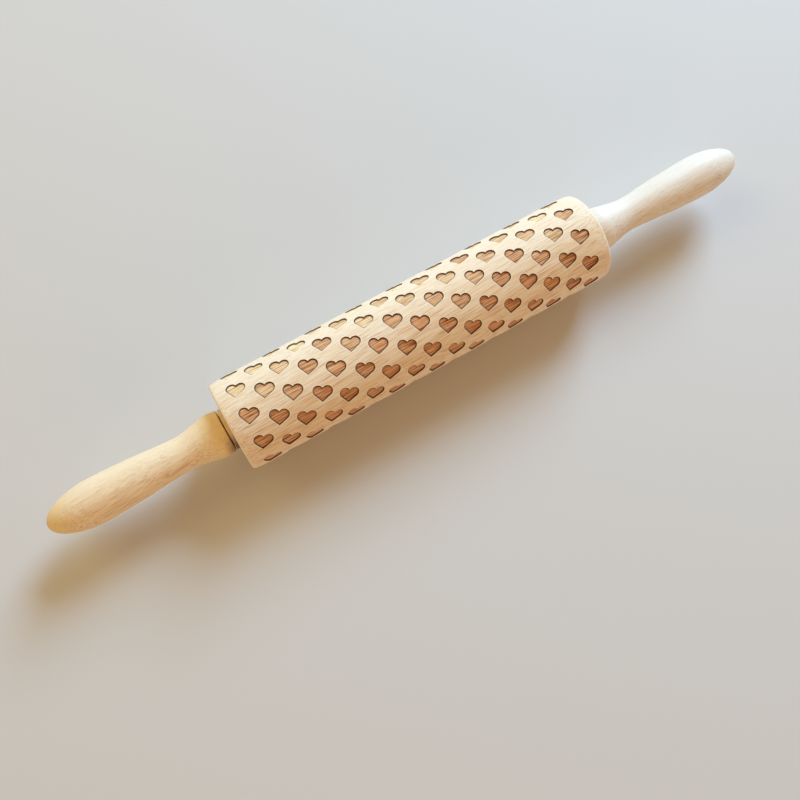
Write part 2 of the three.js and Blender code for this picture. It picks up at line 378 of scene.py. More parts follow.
def heart_outline(samples):
    """Heart round zero, point down, in mm. The first half runs from the tip along a straight
    side, which touches the lobe's circle, and then round the lobe to the cleft. The lobe's
    radius is half the width plus the cleft's depth, less the root of the product of width and
    cleft's depth: then the lobes meet that deep below their tops."""
    lobe = HEART_WIDTH / 2 + CLEFT_DEPTH - math.sqrt(HEART_WIDTH * CLEFT_DEPTH)
    offset, drop = HEART_WIDTH / 2 - lobe, HEART_HEIGHT - lobe
    reach = math.hypot(offset, drop)
    side = math.atan2(offset, drop) + math.asin(lobe / reach)
    cleft = math.pi - math.acos(offset / lobe)
    straight = math.sqrt(reach**2 - lobe**2)
    walked = np.linspace(0, straight + lobe * (side + cleft), samples // 2 + 1)
    share = np.minimum(walked / straight, 1)[:, None]
    angle = np.maximum(walked - straight, 0) / lobe - side
    arc = np.stack([offset + lobe * np.cos(angle), lobe * np.sin(angle)], axis=-1)
    tip = np.array([0, -drop])
    touch = np.array([offset + lobe * math.cos(side), -lobe * math.sin(side)])
    half = np.where(share < 1, tip + share * (touch - tip), arc)
    return np.concatenate([half, half[-2:0:-1] * (-1, 1)])


def area_middle(outline):
    """Middle of an outline's area: each side's middle, weighted by its cross product."""
    after = np.roll(outline, -1, axis=0)
    cross = outline[:, 0] * after[:, 1] - after[:, 0] * outline[:, 1]
    return ((outline + after) * cross[:, None]).sum(axis=0) / (3 * cross.sum())


def leaned(outline):
    """From the heart's own axes to (along, round) on the roller: the middle of the area at
    zero, and the tip turned towards the front and the left handle."""
    lean = math.radians(HEART_LEAN_DEGREES)
    across, up = (outline - area_middle(heart_outline(FINE_SAMPLES))).T
    along = across * math.cos(lean) + up * math.sin(lean)
    return np.stack([along, across * math.sin(lean) - up * math.cos(lean)], axis=-1)


print("tip at (along, round):", leaned(heart_outline(FINE_SAMPLES))[0].round(2))

# %% [markdown]
# ## The roller
# One piece of beech, bored through, with 170 pockets. Cutting 170 hearts with booleans leaves
# messy faces. Here the skin is unrolled instead: the staggered hearts sit in hexagonal cells
# that tile the flat sheet, each cell is a few rings of points from the middle of the floor out
# to the hexagon, and the whole sheet is then rolled up.

# %% Sizes of the roller
# Lengths in mm, as in the CAD. An arris is the edge between two faces, and it is rounded here.
ROLLER_LENGTH = 226.0
ROLLER_DIAMETER = 51.4
ROLLER_ARRIS = 0.9
END_RELIEF_LENGTH = 9.0
END_RELIEF_DEPTH = 0.8
HEART_PITCH = 25.07
FIRST_HEART_INSET = 11.8
ROW_SHIFT = 13.0
POCKET_DEPTH = 0.7
ROW_TURN_DEGREES = 6.5
ROWS = 20
FULL_ROW, SHIFTED_ROW = 9, 8

ROLLER_RADIUS = ROLLER_DIAMETER / 2
ROLLER_END = ROLLER_LENGTH / 2
ROW_PITCH = 2 * math.pi * ROLLER_RADIUS / ROWS
print("hearts:", ROWS // 2 * (FULL_ROW + SHIFTED_ROW), "row pitch:", round(ROW_PITCH, 3))

# %% Boundary of a cell
FLAT_STEPS, SLANT_STEPS = 4, 7
CELL_POINTS = 2 * (FLAT_STEPS + 2 * SLANT_STEPS)
CELL_FLAT = 3.64


def hexagon():
    """Boundary of a cell. Six straight sides, each cut into even steps, from the corner that
    the heart's tip points at."""
    slant = HEART_PITCH / 2 - CELL_FLAT
    half = np.array([(-CELL_FLAT, ROW_PITCH), (CELL_FLAT, ROW_PITCH), (slant, 0)])
    corners = np.concatenate([half, -half])
    steps = (FLAT_STEPS, SLANT_STEPS, SLANT_STEPS) * 2
    ends = np.roll(corners, -1, axis=0)
    return np.concatenate([
        start + (end - start) * np.arange(count)[:, None] / count
        for start, end, count in zip(corners, ends, steps)
    ])


print("points round a cell:", len(hexagon()))

# %% Rings of a cell
WALL_TAPER = 0.1
RIM_WEAR = 0.12
FLOOR_SHARE = 0.62
LAND_SHARE = 0.45


def cell_rings(shift):
    """Rings of one cell as (along, round, depth, distance from the outline), where the heart's
    middle is zero and the cell's middle lies shift to its left. From the inside: the middle,
    the floor, the wall's foot and top, the worn rim, the land and the cell's boundary."""
    outline = leaned(heart_outline(CELL_POINTS))
    run = np.roll(outline, -1, axis=0) - np.roll(outline, 1, axis=0)
    outward = np.stack([-run[:, 1], run[:, 0]], -1) / np.linalg.norm(run, axis=1)[:, None]
    land = hexagon() - (shift, 0) - outline
    flat = np.stack([
        0 * outline,
        FLOOR_SHARE * outline,
        outline - WALL_TAPER * outward,
        outline,
        outline + RIM_WEAR * outward,
        outline + LAND_SHARE * land,
        outline + land,
    ])
    depth = np.array([POCKET_DEPTH] * 3 + [RIM_WEAR, 0, 0, 0])
    fine = leaned(heart_outline(FINE_SAMPLES))
    away = np.linalg.norm(flat[:, :, None] - fine, axis=-1).min(axis=-1)
    side = np.array([-1, -1, -1, 0, 1, 1, 1])
    depth, side = (np.tile(value[:, None], CELL_POINTS) for value in (depth, side))
    return np.dstack([flat, depth, side * away])


print("points in a cell:", cell_rings(0)[..., 0].size)

# %% Rows of cells
# Each heart's scorch has a tone that differs at random, and the rows towards the back are painted
# paler, where the key lamp falls: painted light.
TONE_SPREAD = 0.3
PAINTED_LIGHT_AT_BACK = 0.75
TONE_SEED = 7
chance = np.random.default_rng(TONE_SEED)


def rows_of_cells(first_row, hearts, inset, shift):
    """Every second row of cells, moved to their places on the flat sheet."""
    rings = cell_rings(shift)
    rows, places = np.meshgrid(np.arange(first_row, ROWS, 2), np.arange(hearts), indexing="ij")
    along = inset - ROLLER_END + HEART_PITCH * places.ravel()
    middles = np.zeros((along.size, 1, 1, rings.shape[-1]))
    middles[:, 0, 0, 0] = along
    middles[:, 0, 0, 1] = ROW_PITCH * rows.ravel()
    turns = ROW_PITCH * rows.ravel() / ROLLER_RADIUS + math.radians(ROW_TURN_DEGREES)
    tones = chance.uniform(-TONE_SPREAD, TONE_SPREAD, along.size) - PAINTED_LIGHT_AT_BACK * np.sin(turns)
    cells = rings + middles
    tones = np.broadcast_to(tones[:, None, None], cells.shape[:3])
    return cells.reshape(-1, 4), tones.ravel(), grid_quads(len(rings), CELL_POINTS, along.size)


full_cells, full_tones, full_quads = rows_of_cells(0, FULL_ROW, FIRST_HEART_INSET, 0)
off_cells, off_tones, off_quads = rows_of_cells(
    1, SHIFTED_ROW, FIRST_HEART_INSET + ROW_SHIFT, ROW_SHIFT - HEART_PITCH / 2
)
print("points in all cells:", len(full_cells) + len(off_cells))

# %% Edges and ends of the roller
ROD_BORE_RADIUS = 4.7
BUSH_SEAT_RADIUS = 7.65
BUSH_LENGTH = 18.0
SEAT_CHAMFER = 0.4
RELIEF_REACH = ROLLER_RADIUS / 3
ARRIS_LINE = ROLLER_END - ROLLER_ARRIS
ARRIS_STEPS = 4


def zigzag_edges():
    """Places along the roller of the points on the left and the right edge of the cells."""
    edge = hexagon()[:, 0]
    left_side = edge[CELL_POINTS - 2 * SLANT_STEPS:]
    right_side = edge[FLAT_STEPS + 2 * SLANT_STEPS:FLAT_STEPS:-1]
    first = FIRST_HEART_INSET - ROLLER_END
    last = first + (FULL_ROW - 1) * HEART_PITCH
    return np.tile(first + left_side, ROWS // 2), np.tile(last + right_side, ROWS // 2)


def end_profile():
    """The right end as (along, depth): round the arris, down the face, along the bush's seat
    and through the bore to the middle of the roller."""
    angle = np.linspace(0, math.pi / 2, ARRIS_STEPS + 1)
    along, depth = ARRIS_LINE + ROLLER_ARRIS * np.sin(angle), ROLLER_ARRIS * (1 - np.cos(angle))
    seat, bore = ROLLER_RADIUS - BUSH_SEAT_RADIUS, ROLLER_RADIUS - ROD_BORE_RADIUS
    return np.concatenate([np.stack([along, depth], axis=-1), [
        (ROLLER_END, RELIEF_REACH),
        (ROLLER_END, seat - SEAT_CHAMFER),
        (ROLLER_END - SEAT_CHAMFER, seat),
        (ROLLER_END - BUSH_LENGTH, seat),
        (ROLLER_END - BUSH_LENGTH, bore),
        (0, bore),
    ]])


print("points from an arris to the middle of the bore:", len(end_profile()))

# %% Ends and bore
MARGIN_STEPS = 5
FAR_FROM_HEARTS = 9.0


def ends_and_bore():
    """Rings round the rod from one zigzag edge of the cells, over the end, through the bore,
    and back to the other zigzag edge, as (along, round, depth, distance)."""
    right = end_profile()
    left = right[:-1] * (-1, 1)
    middle = np.concatenate([left, right[::-1]])
    zigzags = zigzag_edges()
    columns = len(zigzags[0])
    rings = np.repeat(middle[:, None], columns, axis=1)
    shares = (np.arange(MARGIN_STEPS) / MARGIN_STEPS)[:, None]
    ends = (-ARRIS_LINE, ARRIS_LINE)
    skins = [zigzag + shares * (end - zigzag) for zigzag, end in zip(zigzags, ends)]
    skins = [np.dstack([skin, 0 * skin]) for skin in skins]
    rings = np.concatenate([skins[0], rings, skins[1][::-1]])
    turn = ROW_PITCH * (np.arange(columns) / SLANT_STEPS - 1)
    turn = np.broadcast_to(turn, rings.shape[:2])
    away = np.full(rings.shape[:2], FAR_FROM_HEARTS)
    return np.dstack([rings[..., 0], turn, rings[..., 1], away])


end_rings = ends_and_bore()
print("rings over the ends and through the bore:", len(end_rings))

# %% Roll it up
def end_relief(along, depth):
    """How much sanding has lowered the skin near an end: the square of the share of the way
    from where it starts, fading to nothing by a third of the way in to the rod."""
    way = np.clip((np.abs(along) - ROLLER_END) / END_RELIEF_LENGTH + 1, 0, 1)
    return END_RELIEF_DEPTH * way**2 * np.clip(1 - depth / RELIEF_REACH, 0, 1)


def rolled(sheet):
    """Flat (along, round, depth) to the roller: the way round becomes a turn from the top
    towards the front, and depth shortens the radius."""
    turn = sheet[:, 1] / ROLLER_RADIUS + math.radians(ROW_TURN_DEGREES)
    radius = ROLLER_RADIUS - sheet[:, 2] - end_relief(sheet[:, 0], sheet[:, 2])
    rise = ROLLER_RADIUS + radius * np.cos(turn)
    return MM * np.stack([sheet[:, 0], -radius * np.sin(turn), rise], axis=-1)


sheets = (full_cells, off_cells, end_rings.reshape(-1, 4))
starts = np.cumsum([0] + [len(sheet) for sheet in sheets])
patches = (full_quads, off_quads, grid_quads(*end_rings.shape[:2]))
sheet = np.concatenate(sheets)
roller = add_piece(
    "engraved_roller",
    rolled(sheet),
    np.concatenate([quads + start for quads, start in zip(patches, starts)]),
    "roller_set",
    "roller_wood",
    ["roller"],
    depth_mm=sheet[:, 2],
    edge_mm=sheet[:, 3],
    # the scorch tone: random, plus painted light on the rows towards the back
    heart_tone=np.concatenate([full_tones, off_tones, np.zeros(end_rings[..., 0].size)]),
)

# %% [markdown]
# ## Turned pieces
# Handles, bushes and metal parts are all turned: a profile is carried round the rod. On a lathe
# the profile is what the tool follows. Fine steps round the curves keep the outline smooth, and
# the small roundings at the edges catch the light as real ones do.

# %% Carry a profile round the rod
ROD_HEIGHT = ROLLER_RADIUS


def elbow(centre, size, start, end, steps):
    """Points on an ellipse round a centre, from one angle to another in degrees."""
    angle = np.radians(np.linspace(start, end, steps + 1))
    return np.stack([centre[0] + size[0] * np.cos(angle), centre[1] + size[1] * np.sin(angle)], -1)


def turned(profile, around, start, side):
    """Profile points (along, radius) in mm, carried round the rod: each keeps its distance
    along from start, outwards on its side of the roller, and its radius."""
    turn = np.arange(around) * 2 * math.pi / around
    along = np.repeat(profile[:, :1], around, axis=1)
    across, rise = profile[:, 1:] * np.sin(turn), profile[:, 1:] * np.cos(turn)
    points = np.dstack([side * (ROLLER_END + start + along), across, ROD_HEIGHT + rise])
    return MM * points.reshape(-1, 3), grid_quads(len(profile), around)


SIDES = {"left": -1, "right": 1}
print("rod height in mm:", ROD_HEIGHT)

# %% [markdown]
# ## Handles
# Each handle is one turned piece of beech: a rounded collar, a neck for the fingers, a long
# swell for the palm and a round butt. The curve is a spline through the places that the CAD
# names: at each place it runs in the direction from the one before to the one after. The butt
# is a quarter of an ellipse. Inside are the recess for the nut and the seats of the insert and
# the rod.

# %% Curves through named places
def shares_between(start, end, shares):
    """Places between two others, by shares of the way along and of the change in radius."""
    start, end = np.array(start), np.array(end)
    return start + np.array(shares) * (end - start)


def spline(knots, steps):
    """A curve through the knots. Each span is a cubic that starts and ends with half the step
    between the knots on both sides of it. The last knot only gives the last slope."""
    before = np.concatenate([knots[:1], knots[:-3]])[:, None]
    start, end, after = knots[:-2][:, None], knots[1:-1][:, None], knots[2:][:, None]
    share = (np.arange(steps) / steps)[None, :, None]
    first, last = (end - before) / 2, (after - start) / 2
    cubic = (2 * start - 2 * end + first + last) * share**3
    square = (3 * end - 3 * start - 2 * first - last) * share**2
    return (cubic + square + first * share + start).reshape(-1, 2)


print("curve helpers ready")

# %% Outside of a handle
# Each place: its distance from the collar's face and its radius, in mm.
HANDLE_LENGTH = 102.0
COLLAR_ROUNDING = 0.7
COLLAR_EDGE = (0.7, 12.0)
CROWN = (6.8, 12.55)
NECK = (26.0, 9.5)
SWELL = (73.9, 12.3)
SHOULDER_SHARES = ((0.24, 0.32), (0.43, 0.53), (0.67, 0.84))
SWELL_SHARES = ((0.2, 0.19), (0.42, 0.53), (0.67, 0.80))
SPAN_STEPS = 6
NOSE_STEPS = 20
SLOPE_POINT = 3
ROUNDING_STEPS = 5

nose = elbow((SWELL[0], 0), (HANDLE_LENGTH - SWELL[0], SWELL[1]), 90, 0, NOSE_STEPS)
nose[-1, 1] = 0  # exactly on the axis, so that the last ring is welded to one point
knots = np.concatenate([
    [COLLAR_EDGE, CROWN],
    shares_between(CROWN, NECK, SHOULDER_SHARES),
    [NECK],
    shares_between(NECK, SWELL, SWELL_SHARES),
    [SWELL, nose[SLOPE_POINT]],
])
rim_middle = (COLLAR_ROUNDING, COLLAR_EDGE[1] - COLLAR_ROUNDING)
outside = np.concatenate([
    elbow(rim_middle, (COLLAR_ROUNDING,) * 2, 180, 90, ROUNDING_STEPS)[:-1],
    spline(knots, SPAN_STEPS),
    nose,
])
print("points on the outside of a handle:", len(outside))

# %% Handles with their bores
COLLAR_FACE = 3.0
ROD_HOLE_DEPTH = 29.3
INSERT_SEAT_DEPTH, INSERT_SEAT_RADIUS = 25.3, 6.15
RECESS_DEPTH, RECESS_RADIUS = 5.3, 8.7
RECESS_CHAMFER = 0.3
HANDLE_AROUND = 96

bores = [
    (ROD_HOLE_DEPTH, 0),
    (ROD_HOLE_DEPTH, ROD_BORE_RADIUS),
    (INSERT_SEAT_DEPTH, ROD_BORE_RADIUS),
    (INSERT_SEAT_DEPTH, INSERT_SEAT_RADIUS),
    (RECESS_DEPTH, INSERT_SEAT_RADIUS),
    (RECESS_DEPTH, RECESS_RADIUS),
    (RECESS_CHAMFER, RECESS_RADIUS),
    (0, RECESS_RADIUS + RECESS_CHAMFER),
]
handle_profile = np.concatenate([bores, outside])
handles = {
    label: add_piece(
        f"turned_handle_{label}",
        *turned(handle_profile, HANDLE_AROUND, COLLAR_FACE, side),
        "handle_set",
        "handle_wood",
        [f"{label}_handle"],
    )
    for label, side in SIDES.items()
}

# %% [markdown]
# ## Bushes
# A flanged plastic bush sits in each end of the roller. Its flange is the thin tan ring that
# shows between the roller and the handle. Moulded plastic has soft edges, so the flange's are
# rounded.

# %% Bushes
# Places along are counted from the roller's end, and the sleeve reaches into the roller.
BUSH_BORE_RADIUS = 4.1
BUSH_RADIUS = 7.5
SEAT_CLEARANCE = 0.15
BUSH_START = SEAT_CLEARANCE - BUSH_LENGTH
FLANGE_RADIUS = 11.7
FLANGE_THICKNESS = 2.4
FLANGE_ROUNDING = 0.35
BUSH_AROUND = 72

outer_low = (FLANGE_ROUNDING, FLANGE_RADIUS - FLANGE_ROUNDING)
outer_high = (FLANGE_THICKNESS - FLANGE_ROUNDING, FLANGE_RADIUS - FLANGE_ROUNDING)
bush_profile = np.concatenate([
    [(BUSH_START, BUSH_BORE_RADIUS), (BUSH_START, BUSH_RADIUS - FLANGE_ROUNDING)],
    [(BUSH_START + FLANGE_ROUNDING, BUSH_RADIUS), (0, BUSH_RADIUS)],
    elbow(outer_low, (FLANGE_ROUNDING,) * 2, 180, 90, ROUNDING_STEPS),
    elbow(outer_high, (FLANGE_ROUNDING,) * 2, 90, 0, ROUNDING_STEPS),
    [(FLANGE_THICKNESS, BUSH_BORE_RADIUS + FLANGE_ROUNDING)],
    [(FLANGE_THICKNESS - FLANGE_ROUNDING, BUSH_BORE_RADIUS), (BUSH_START, BUSH_BORE_RADIUS)],
])
bushes = {
    label: add_piece(
        f"flanged_bush_{label}",
        *turned(bush_profile, BUSH_AROUND, 0, side),
        "roller_set",
        "bush_plastic",
        [f"{label}_bush"],
    )
    for label, side in SIDES.items()
}

# %% [markdown]
# ## Beech
# Beech is pale, with fine grain, faint year rings and short dark flecks, which are its rays:
# thin sheets that run out from the pith. The pattern could be painted on each face, but a
# pattern that fills space runs through the wood as the real one does: the rings show on the
# ends, and the streaks go on in the floor of a pocket. The way that the surface faces, set
# against the way out from the pith, says where the rays are cut across and show as dashes.
# End grain is darker. Places are read in millimetres, with the rod as the middle.

# %% Group: beech, seen from its pith
GRAIN_SLOPE = (0.0, math.radians(1.5), math.radians(-3.0))
ROUND_THE_PITH = (0.0, 1.0, 1.0)

beech, given, result = new_group(
    "beech",
    [
        ("Place", "Vector", None),
        ("Facing", "Vector", None),
        ("Pith", "Vector", (0.0, 46.0, -38.0)),
        ("Flecks", "Float", 1.0),
        ("Grain", "Float", 1.0),
        ("Pale", "Color", PALE_BEECH),
        ("Tan", "Color", colour(240, 203, 156)),
    ],
    [("Color", "Color", None), ("Height", "Float", None), ("Fleck", "Float", None)],
)
turn_inputs = {"Vector": given["Place"], "Rotation": GRAIN_SLOPE}
sloped = add_node(beech, "VectorRotate", turn_inputs, rotation_type="EULER_XYZ").outputs[0]
from_pith = vector_maths(beech, "SUBTRACT", sloped, given["Pith"])
flat_pith = vector_maths(beech, "MULTIPLY", from_pith, ROUND_THE_PITH)
radius = vector_maths(beech, "LENGTH", flat_pith)
outward = vector_maths(beech, "NORMALIZE", flat_pith)
across_rays = vector_maths(beech, "DOT_PRODUCT", outward, given["Facing"])
across_rays = maths(beech, "MULTIPLY", across_rays, across_rays)
print("nodes up to the rays:", len(beech.nodes))

# %% Beech: year rings and grain
# Each noise: its size along and across the grain in mm, its detail and its seed.
RING_WIDTH = 2.6
RING_WANDER = 2.2
WANDER_NOISE = (90, 9, 1.0, 3.1)
LATE_WOOD_RISE, LATE_WOOD_FALL = (0.45, 0.94), (1.0, 0.95)
BROAD_NOISE, BROAD_STEP, BROAD_SHARE = (140, 7, 2.0, 11.0), (0.32, 0.72), 0.45
FINE_NOISE, FINE_STEP, FINE_SHARE = (13, 0.45, 3.0, 5.0), (0.35, 0.7), 0.6
LATE_WOOD_SHARE = 0.30
GRAIN_LEAST, GRAIN_ACROSS_RAYS = 0.36, 0.4

wander = drawn_noise(beech, sloped, *WANDER_NOISE)
ring_place = maths(beech, "DIVIDE", radius, RING_WIDTH)
ring_place = maths(beech, "MULTIPLY_ADD", wander, RING_WANDER, ring_place)
ring = maths(beech, "FRACT", ring_place)
late_wood = soft_step(beech, ring, *LATE_WOOD_RISE)
late_wood = maths(beech, "MULTIPLY", late_wood, soft_step(beech, ring, *LATE_WOOD_FALL))
broad = soft_step(beech, drawn_noise(beech, sloped, *BROAD_NOISE), *BROAD_STEP)
fine = drawn_noise(beech, sloped, *FINE_NOISE)
tan_share = maths(beech, "MULTIPLY", broad, BROAD_SHARE)
tan_share = maths(beech, "MULTIPLY_ADD", late_wood, LATE_WOOD_SHARE, tan_share)
fine_step = soft_step(beech, fine, *FINE_STEP)
tan_share = maths(beech, "MULTIPLY_ADD", fine_step, FINE_SHARE, tan_share)
grain = maths(beech, "MULTIPLY_ADD", across_rays, GRAIN_ACROSS_RAYS, GRAIN_LEAST)
grain = maths(beech, "MULTIPLY", grain, given["Grain"])
tan_share = maths(beech, "MULTIPLY", tan_share, grain)
grained = blended(beech, tan_share, given["Pale"], given["Tan"])
print("nodes after the grain:", len(beech.nodes))

# %% Beech: hairlines and ray flecks
HAIR, FLECK = colour(200, 144, 94), colour(150, 92, 48)
HAIR_NOISE, HAIR_STEP = (16, 0.36, 1.0, 8.0), (0.52, 0.66)
HAIR_LEAST, HAIR_ACROSS_RAYS = 0.2, 0.5
DASH_NOISE, DASH_STEP = (26, 0.4, 0.0, 21.0), (0.69, 0.77)
PATCH_NOISE, PATCH_STEP = (40, 4, 1.0, 31.0), (0.36, 0.62)
FLECK_SHARE = 0.7

hair = drawn_noise(beech, sloped, *HAIR_NOISE)
hairs = maths(beech, "MULTIPLY", soft_step(beech, hair, *HAIR_STEP), given["Grain"])
hair_share = maths(beech, "MULTIPLY_ADD", across_rays, HAIR_ACROSS_RAYS, HAIR_LEAST)
haired = blended(beech, maths(beech, "MULTIPLY", hairs, hair_share), grained, HAIR)
dashes = soft_step(beech, drawn_noise(beech, sloped, *DASH_NOISE), *DASH_STEP)
patches_of_dashes = soft_step(beech, drawn_noise(beech, sloped, *PATCH_NOISE), *PATCH_STEP)
fleck = maths(beech, "MULTIPLY", dashes, patches_of_dashes)
fleck = maths(beech, "MULTIPLY", fleck, maths(beech, "MULTIPLY", given["Flecks"], across_rays))
flecked = tinted(beech, haired, FLECK, fleck, FLECK_SHARE)
print("nodes after the flecks:", len(beech.nodes))

# %% Beech: end grain and relief
END_GRAIN, END_GRAIN_STEP, END_GRAIN_SHARE = colour(226, 190, 148), (0.5, 0.95), 0.35
FINE_RELIEF, HAIR_RELIEF = 0.5, 0.5

facing_end = add_node(beech, "SeparateXYZ", {0: given["Facing"]}).outputs[0]
end_grain = soft_step(beech, maths(beech, "ABSOLUTE", facing_end), *END_GRAIN_STEP)
relief = maths(beech, "MULTIPLY", hair, HAIR_RELIEF)
relief = maths(beech, "MULTIPLY_ADD", fine, FINE_RELIEF, relief)
fill_inputs(beech, result, {
    "Color": tinted(beech, flecked, END_GRAIN, end_grain, END_GRAIN_SHARE, "MULTIPLY"),
    "Height": maths(beech, "SUBTRACT", relief, fleck),
    "Fleck": fleck,
})
print("nodes in the beech group:", len(beech.nodes))

# %% Places in millimetres
def facing(tree):
    """Which way the surface faces, in the object's own axes."""
    return add_node(tree, "TexCoord").outputs["Normal"]


def place_mm(tree, shift=(0.0, 0.0, 0.0)):
    """Object coordinates in millimetres from the middle of the rod, moved by shift."""
    source = add_node(tree, "TexCoord").outputs["Object"]
    location = (shift[0], shift[1], shift[2] - ROD_HEIGHT)
    inputs = {"Vector": source, "Location": location, "Scale": (1 / MM,) * 3}
    return add_node(tree, "Mapping", inputs, vector_type="POINT").outputs[0]


def add_bump(tree, shader, height, millimetres):
    """Raises the surface by a height that varies from 0 to 1, times so many millimetres."""
    inputs = {"Height": height, "Distance": millimetres * MM, "Strength": 1.0}
    fill_inputs(tree, shader, {"Normal": add_node(tree, "Bump", inputs).outputs[0]})


print("place and bump helpers ready")

# %% [markdown]
# ## Scorched pockets
# A laser burns the hearts out, layer by layer. It leaves a brown floor on which the grain stays
# as light and dark streaks, and a charred line round the foot of the wall. The mesh carries the
# depth of each point and its distance from the outline, so the scorch stays exactly in the
# pockets. The rim above it is painted paler, a painted highlight along its edge, and so is the
# arris at each end of the roller. The scorch is also painted paler on the rows towards the back,
# where the key lamp falls on them: painted light over a tone that differs at random.

# %% Roller material: scorch
STREAK_NOISE, STREAK_STEP = (16, 0.52, 1.5, 41.0), (0.40, 0.55)
BURNT_DARK, BURNT_LIGHT = colour(147, 84, 49), colour(224, 161, 110)
PALER_DARK, PALER_LIGHT = colour(216, 170, 110), colour(253, 238, 194)
TONE_STEP = (-0.1, 0.9)
BRIGHT_NOISE, BRIGHT_STEP = (12, 0.4, 1.0, 47.0), (0.54, 0.62)
BRIGHT, BRIGHT_SHARE = colour(244, 208, 166), 0.65
HAZE, HAZE_STEP, HAZE_SHARE = colour(120, 66, 38), (0.2, 1.3), 0.35
CHAR, CHAR_STEP, CHAR_SHARE = colour(86, 46, 26), (0.24, 0.62), 0.85

roller_wood, tree, shader = new_material("beech_with_scorched_hearts")
place = place_mm(tree)
edge = add_node(tree, "Attribute", attribute_name="edge_mm").outputs["Fac"]
depth = add_node(tree, "Attribute", attribute_name="depth_mm").outputs["Fac"]
tone = add_node(tree, "Attribute", attribute_name="heart_tone").outputs["Fac"]
lines = drawn_noise(tree, place, *STREAK_NOISE)
streak = soft_step(tree, lines, *STREAK_STEP)
burnt = blended(tree, streak, BURNT_DARK, BURNT_LIGHT)
paler = blended(tree, streak, PALER_DARK, PALER_LIGHT)
# Where the tone is high the scorch takes the paler pair of colours: a random tone, and painted
# light on the rows towards the back.
burnt = blended(tree, soft_step(tree, tone, *TONE_STEP), burnt, paler)
bright_lines = soft_step(tree, drawn_noise(tree, place, *BRIGHT_NOISE), *BRIGHT_STEP)
burnt = tinted(tree, burnt, BRIGHT, bright_lines, BRIGHT_SHARE)
from_wall = maths(tree, "ABSOLUTE", edge)
burnt = tinted(tree, burnt, HAZE, soft_drop(tree, from_wall, *HAZE_STEP), HAZE_SHARE)
burnt = tinted(tree, burnt, CHAR, soft_drop(tree, from_wall, *CHAR_STEP), CHAR_SHARE)
print("nodes for the scorch:", len(tree.nodes))

# %% Roller material: land and painted edge highlights
LAND_FLECKS = 0.7
IN_HEARTS_STEP, POCKET_STEP = (1.0, 2.0), (0.02, 0.14)
# The rim round each pocket is painted paler: a painted highlight along its edge.
RIM_HIGHLIGHT, RIM_STEP, RIM_SHARE = colour(252, 238, 216), (0.25, 0.6), 0.7
ARRIS_STEP = (0.5 * ROLLER_ARRIS, ROLLER_ARRIS)
SKIN_STEP = (0.6 * ROLLER_ARRIS, ROLLER_ARRIS)
# Paler wood on the arris at each end of the roller: a painted highlight.
ARRIS_HIGHLIGHT, ARRIS_HIGHLIGHT_SHARE = colour(254, 242, 222), 0.8

wood = place_group(tree, beech, {"Place": place, "Facing": facing(tree), "Flecks": LAND_FLECKS})
in_hearts = soft_drop(tree, edge, *IN_HEARTS_STEP)
pocket = maths(tree, "MULTIPLY", soft_step(tree, depth, *POCKET_STEP), in_hearts)
land = tinted(tree, wood["Color"], RIM_HIGHLIGHT, soft_drop(tree, edge, *RIM_STEP), RIM_SHARE)
along = add_node(tree, "SeparateXYZ", {0: place}).outputs[0]
to_end = maths(tree, "SUBTRACT", ROLLER_END, maths(tree, "ABSOLUTE", along))
arris = soft_drop(tree, to_end, *ARRIS_STEP)
on_skin = soft_drop(tree, depth, *SKIN_STEP)
land = tinted(tree, land, ARRIS_HIGHLIGHT, maths(tree, "MULTIPLY", arris, on_skin), ARRIS_HIGHLIGHT_SHARE)
print("nodes with the land:", len(tree.nodes))

# %% Roller material: put together
ROLLER_ROUGHNESS, POCKET_ROUGHER, ROLLER_SPECULAR = 0.56, 0.2, 0.35
LINE_RELIEF, ROLLER_RELIEF = 2.0, 0.05

fill_inputs(tree, shader, {
    "Base Color": blended(tree, pocket, land, burnt),
    "Roughness": maths(tree, "MULTIPLY_ADD", pocket, POCKET_ROUGHER, ROLLER_ROUGHNESS),
    "Specular IOR Level": ROLLER_SPECULAR,
})
relief = maths(tree, "MULTIPLY", lines, pocket)
relief = maths(tree, "MULTIPLY_ADD", relief, LINE_RELIEF, wood["Height"])
add_bump(tree, shader, relief, ROLLER_RELIEF)
roller.data.materials.append(roller_wood)
print("roller material nodes:", len(tree.nodes))

# %% [markdown]
# ## Painted shade at the joint
# The narrow gap between collar and bush is painted dark brown on both sides: painted shade,
# where the roller and the collar shade the joint. One group gives the share of this painted
# shade: it grows towards the low front of the rod, and a little noise breaks its edge.

# %% Group: painted shade at the joint
# Painted shade: dark brown on the low front of the joint, where the roller shades it.
PAINTED_SHADE_SIDE = (0.0, -0.8, -0.6)
PAINTED_SHADE_STEP = (-4.0, 9.0)
PAINTED_SHADE_NOISE, PAINTED_SHADE_RAGGED = (6, 3, 2.0, 17.0), 5.0
PAINTED_SHADE_COLOUR = colour(84, 50, 30)

painted_shade, given, result = new_group(
    "joint_painted_shade", [("Place", "Vector", None)], [("Share", "Float", None)]
)
lower = vector_maths(painted_shade, "DOT_PRODUCT", given["Place"], PAINTED_SHADE_SIDE)
clouds = drawn_noise(painted_shade, given["Place"], *PAINTED_SHADE_NOISE)
lower = maths(painted_shade, "MULTIPLY_ADD", clouds, PAINTED_SHADE_RAGGED, lower)
fill_inputs(painted_shade, result, {"Share": soft_step(painted_shade, lower, *PAINTED_SHADE_STEP)})
print("nodes in the grime group:", len(painted_shade.nodes))

# %% [markdown]
# ## Handle beech
# The handles come from other planks than the roller, so each has its own pith, grain and
# flecks. The right one is paler and plainer. On the left one a warm yellow is painted by its
# collar and at its butt: painted warm light, where the roller shades the collar from the cool key
# lamp and where the butt turns away from it. One function makes both, because only colours,
# places and amounts differ.

